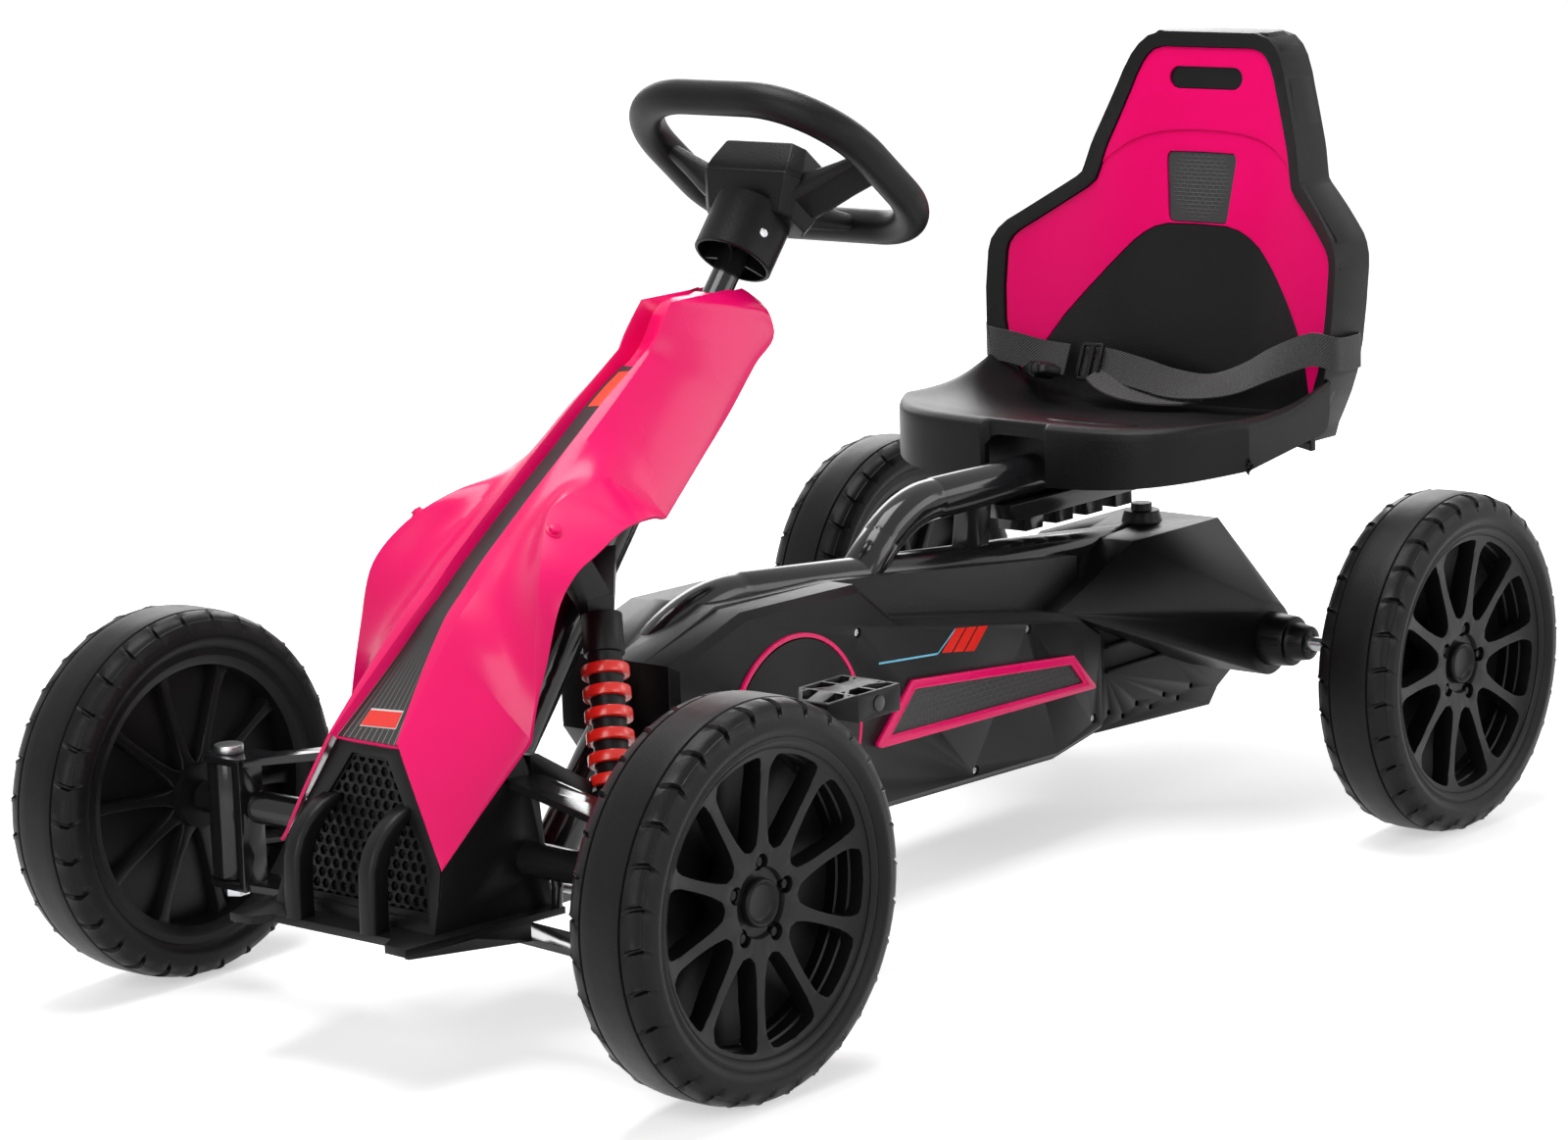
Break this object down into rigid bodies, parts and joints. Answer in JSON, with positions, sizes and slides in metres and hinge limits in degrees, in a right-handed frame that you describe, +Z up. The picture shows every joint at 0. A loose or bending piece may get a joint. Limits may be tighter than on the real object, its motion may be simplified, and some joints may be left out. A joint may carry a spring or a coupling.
{
  "type": "child's pedal go-kart",
  "caption": "Child's pedal go-kart with a pink nose fairing, bucket seat, flat-bottomed steering wheel, steered front wheels and pedals that drive the rear axle.",
  "frame": {"origin": "on the floor, at the middle of the overall length and width", "axes": "+X forward, +Y to the driver's left, +Z up"},
  "size_m": [1.16, 0.646, 0.6551],
  "materials": {
    "pink_gloss": "glossy moulded pink plastic",
    "black_plastic": "fine-grained satin black plastic",
    "frame_paint": "semi-gloss black powder coat",
    "zinc": "zinc-plated steel",
    "tyre": "matt grey-black foam rubber",
    "red_gloss": "glossy red plastic",
    "webbing": "woven black webbing"
  },
  "bodies": {
    "chassis": {"spine_tube": "frame_paint", "seat_tube": "frame_paint", "seat_rail": "frame_paint", "front_frame": "frame_paint", "kingpins": "zinc", "column_housing": "frame_paint", "nose": "black_plastic", "grille": "black_plastic", "bumper_posts": "black_plastic", "splitter": "black_plastic", "hood": "pink_gloss", "hood_strip": "black_plastic", "shock_brackets": "frame_paint", "shocks": "black_plastic", "shock_coils": "red_gloss", "side_cover_left": "black_plastic", "side_cover_right": "black_plastic", "side_trim": "pink_gloss", "side_inserts": "black_plastic", "rear_housing": "black_plastic", "axle_bushings": "black_plastic", "seat_pan": "black_plastic", "seat_back": "black_plastic", "seat_panel": "pink_gloss", "seat_inserts": "black_plastic", "belt": "webbing", "buckle": "black_plastic"},
    "steering": {"steering_wheel": "black_plastic", "steering_column": "frame_paint"},
    "knuckle_left": {"knuckle_left": "frame_paint"},
    "knuckle_right": {"knuckle_right": "frame_paint"},
    "tie_rod_left": {"tie_rod_left": "zinc"},
    "tie_rod_right": {"tie_rod_right": "zinc"},
    "wheel_front_left": {"rim_front_left": "black_plastic", "tyre_front_left": "tyre"},
    "wheel_front_right": {"rim_front_right": "black_plastic", "tyre_front_right": "tyre"},
    "rear_wheels": {"rear_axle": "zinc", "rim_rear_left": "black_plastic", "tyre_rear_left": "tyre", "rim_rear_right": "black_plastic", "tyre_rear_right": "tyre"},
    "crank": {"crank": "zinc"},
    "pedal_left": {"pedal_left": "black_plastic"},
    "pedal_right": {"pedal_right": "black_plastic"}
  },
  "joints": [
    {"name": "steer", "type": "hinge", "parent": "chassis", "child": "steering", "pos_m": [0.119, 0, 0.494], "axis": [-0.6361, 0, 0.7716], "range_deg": [-35, 35]},
    {"name": "kingpin_left", "type": "hinge", "parent": "chassis", "child": "knuckle_left", "pos_m": [0.44, 0.217, 0.128], "axis": [0, 0, 1], "range_deg": [-24, 24]},
    {"name": "tie_rod_left_eye", "type": "hinge", "parent": "knuckle_left", "child": "tie_rod_left", "pos_m": [0.372, 0.186, 0.1], "axis": [0, 0, 1], "range_deg": [-28, 28]},
    {"name": "spin_front_left", "type": "hinge", "parent": "knuckle_left", "child": "wheel_front_left", "pos_m": [0.44, 0.2785, 0.14], "axis": [0, 1, 0], "continuous": true},
    {"name": "kingpin_right", "type": "hinge", "parent": "chassis", "child": "knuckle_right", "pos_m": [0.44, -0.217, 0.128], "axis": [0, 0, 1], "range_deg": [-24, 24]},
    {"name": "tie_rod_right_eye", "type": "hinge", "parent": "knuckle_right", "child": "tie_rod_right", "pos_m": [0.372, -0.186, 0.1], "axis": [0, 0, 1], "range_deg": [-28, 28]},
    {"name": "spin_front_right", "type": "hinge", "parent": "knuckle_right", "child": "wheel_front_right", "pos_m": [0.44, -0.2785, 0.14], "axis": [0, 1, 0], "continuous": true},
    {"name": "spin_rear", "type": "hinge", "parent": "chassis", "child": "rear_wheels", "pos_m": [-0.44, 0, 0.14], "axis": [0, 1, 0], "continuous": true},
    {"name": "crank_spin", "type": "hinge", "parent": "chassis", "child": "crank", "pos_m": [0.115, 0, 0.16], "axis": [0, 1, 0], "continuous": true},
    {"name": "pedal_left_spin", "type": "hinge", "parent": "crank", "child": "pedal_left", "pos_m": [0.16985, 0.16, 0.21115], "axis": [0, 1, 0], "continuous": true},
    {"name": "pedal_right_spin", "type": "hinge", "parent": "crank", "child": "pedal_right", "pos_m": [0.06015, -0.16, 0.10885], "axis": [0, 1, 0], "continuous": true}
  ],
  "couplings": [
    {"joint": "kingpin_left", "follows": "steer", "ratio": 0.65},
    {"joint": "kingpin_right", "follows": "steer", "ratio": 0.65},
    {"joint": "tie_rod_left_eye", "follows": "steer", "ratio": -0.76},
    {"joint": "tie_rod_right_eye", "follows": "steer", "ratio": -0.76},
    {"joint": "crank_spin", "follows": "spin_rear", "ratio": 0.5}
  ]
}
